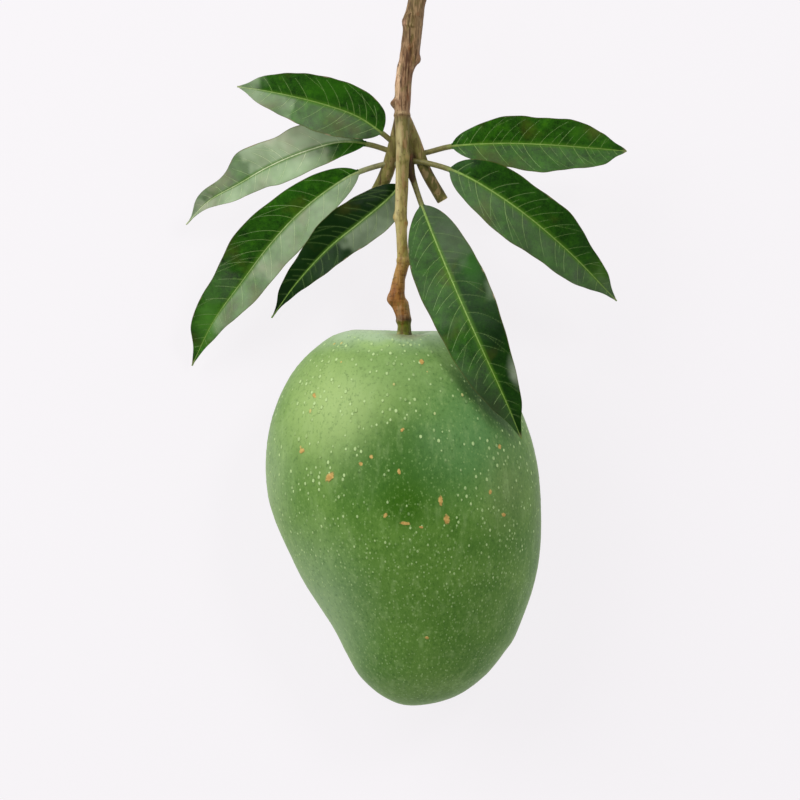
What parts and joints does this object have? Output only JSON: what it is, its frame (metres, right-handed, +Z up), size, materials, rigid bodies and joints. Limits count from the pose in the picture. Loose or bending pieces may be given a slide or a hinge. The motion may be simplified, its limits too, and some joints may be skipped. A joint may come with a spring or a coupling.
{
  "type": "green mango with leafy twig",
  "caption": "Green mango lying on one cheek, with its knuckled stalk, a cut end of woody twig and a whorl of long pointed leaves.",
  "frame": {"origin": "on the small flat spot on the lower cheek that the fruit rests on, within 3 mm of the spot's middle", "axes": "+Z up from the surface it lies on, +Y along the fruit from its tip to the cut end of the twig, +X to the right seen from above"},
  "size_m": [0.1552, 0.248, 0.0799],
  "materials": {
    "skin": "satin",
    "bark": "matte",
    "leaf": "satin"
  },
  "bodies": {
    "root": {"fruit": "skin", "stalk": "bark", "leaf_upper_left": "leaf", "leaf_middle_left": "leaf", "leaf_lower_left": "leaf", "leaf_centre_left": "leaf", "leaf_centre_right": "leaf", "leaf_lower_right": "leaf", "leaf_upper_right": "leaf"}
  },
  "joints": []
}
